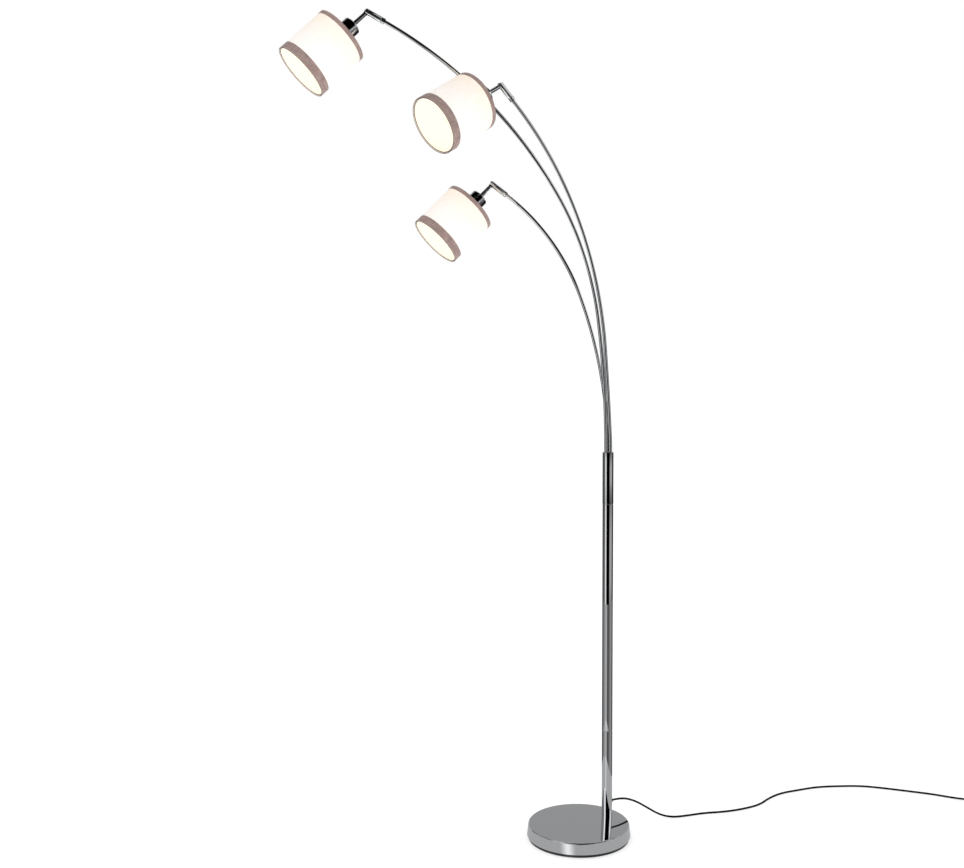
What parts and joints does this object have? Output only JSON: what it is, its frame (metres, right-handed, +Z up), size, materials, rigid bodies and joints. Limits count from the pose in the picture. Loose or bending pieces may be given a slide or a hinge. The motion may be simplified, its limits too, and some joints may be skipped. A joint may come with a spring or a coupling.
{
  "type": "tree floor lamp",
  "caption": "Floor lamp with a weighted disc base, an offset pole and curved arms that each carry a turning, tilting drum shade; foot switch on the cord.",
  "frame": {"origin": "middle of the base's flat underside, on the floor", "axes": "+Z up, +X from the middle of the base towards the pole; the arms reach towards -X"},
  "size_m": [1.7197, 0.9423, 1.9288],
  "materials": {
    "chrome": "mirror-polished plating",
    "cast_iron": "rough casting, unpainted",
    "zinc_steel": "zinc-plated",
    "black_plastic": "fine moulded grain",
    "black_rubber": "matt",
    "black_cord": "satin sheath",
    "white_plastic": "satin",
    "brass_pins": "bright, nickel-plated",
    "white_wire": "white powder coat",
    "white_fabric": "fine plain weave on a stiff white backing",
    "taupe_band": "woven ribbon trim",
    "bulb_glass": "opal"
  },
  "bodies": {
    "stand": {"base_cover": "chrome", "base_weight": "cast_iron", "base_tray": "black_plastic", "base_pad": "black_rubber", "base_nut": "zinc_steel", "base_stud": "zinc_steel", "pole_foot_insert": "zinc_steel", "pole_lower": "chrome", "pole_couplers": "zinc_steel", "pole_upper": "chrome", "pole_head": "chrome", "head_insert": "chrome", "arm_friction_rings": "white_plastic", "cord_grommet": "black_rubber", "pole_cable": "black_cord", "cord_run": "black_cord", "cord_coil": "black_cord", "switch_housing": "black_plastic", "plug_body": "black_plastic", "plug_pins": "brass_pins"},
    "arm_high": {"arm_tube_high": "chrome", "knuckle_collar_high": "chrome"},
    "knuckle_high": {"knuckle_body_high": "chrome", "knuckle_pin_high": "chrome"},
    "head_high": {"stem_rod_high": "chrome", "lampholder_cup_high": "chrome", "lampholder_high": "white_plastic", "clamp_ring_high": "white_plastic", "shade_frame_high": "white_wire", "shade_fabric_high": "white_fabric", "shade_top_band_high": "taupe_band", "shade_bottom_band_high": "taupe_band", "bulb_high": "bulb_glass"},
    "arm_middle": {"arm_tube_middle": "chrome", "knuckle_collar_middle": "chrome"},
    "knuckle_middle": {"knuckle_body_middle": "chrome", "knuckle_pin_middle": "chrome"},
    "head_middle": {"stem_rod_middle": "chrome", "lampholder_cup_middle": "chrome", "lampholder_middle": "white_plastic", "clamp_ring_middle": "white_plastic", "shade_frame_middle": "white_wire", "shade_fabric_middle": "white_fabric", "shade_top_band_middle": "taupe_band", "shade_bottom_band_middle": "taupe_band", "bulb_middle": "bulb_glass"},
    "arm_low": {"arm_tube_low": "chrome", "knuckle_collar_low": "chrome"},
    "knuckle_low": {"knuckle_body_low": "chrome", "knuckle_pin_low": "chrome"},
    "head_low": {"stem_rod_low": "chrome", "lampholder_cup_low": "chrome", "lampholder_low": "white_plastic", "clamp_ring_low": "white_plastic", "shade_frame_low": "white_wire", "shade_fabric_low": "white_fabric", "shade_top_band_low": "taupe_band", "shade_bottom_band_low": "taupe_band", "bulb_low": "bulb_glass"},
    "switch_button": {"switch_button": "black_plastic"}
  },
  "joints": [
    {"name": "arm_high_turn", "type": "hinge", "parent": "stand", "child": "arm_high", "pos_m": [0.0787, 0.00018, 0.93], "axis": [0, 0, 1], "range_deg": [-12, 0]},
    {"name": "head_high_swivel", "type": "hinge", "parent": "arm_high", "child": "knuckle_high", "pos_m": [-0.4767, 0.11519, 1.92242], "axis": [-0.8779, 0.1818, 0.4431], "range_deg": [-60, 60]},
    {"name": "head_high_tilt", "type": "hinge", "parent": "knuckle_high", "child": "head_high", "pos_m": [-0.4767, 0.11519, 1.92242], "axis": [-0.2028, -0.9792, 0], "range_deg": [-66, 26]},
    {"name": "arm_middle_turn", "type": "hinge", "parent": "stand", "child": "arm_middle", "pos_m": [0.088, -0.00554, 0.93], "axis": [0, 0, 1], "range_deg": [0, 60]},
    {"name": "head_middle_swivel", "type": "hinge", "parent": "arm_middle", "child": "knuckle_middle", "pos_m": [-0.22014, -0.0163, 1.76798], "axis": [-0.7128, -0.0249, 0.7009], "range_deg": [-22, 45]},
    {"name": "head_middle_tilt", "type": "hinge", "parent": "knuckle_middle", "child": "head_middle", "pos_m": [-0.22014, -0.0163, 1.76798], "axis": [0.0349, -0.9994, 0], "range_deg": [-71, 21]},
    {"name": "arm_low_turn", "type": "hinge", "parent": "stand", "child": "arm_low", "pos_m": [0.0883, 0.00537, 0.93], "axis": [0, 0, 1], "range_deg": [-70, 8]},
    {"name": "head_low_swivel", "type": "hinge", "parent": "arm_low", "child": "knuckle_low", "pos_m": [-0.09866, 0.21521, 1.57046], "axis": [-0.5292, 0.5939, 0.606], "range_deg": [-72, 17]},
    {"name": "head_low_tilt", "type": "hinge", "parent": "knuckle_low", "child": "head_low", "pos_m": [-0.09866, 0.21521, 1.57046], "axis": [-0.481, -0.7983, 0.3624], "range_deg": [-85, 7]},
    {"name": "switch_press", "type": "slide", "parent": "stand", "child": "switch_button", "axis": [0, 0, -1], "range_m": [0, 0.0025], "stiffness_N_per_m": 400}
  ]
}
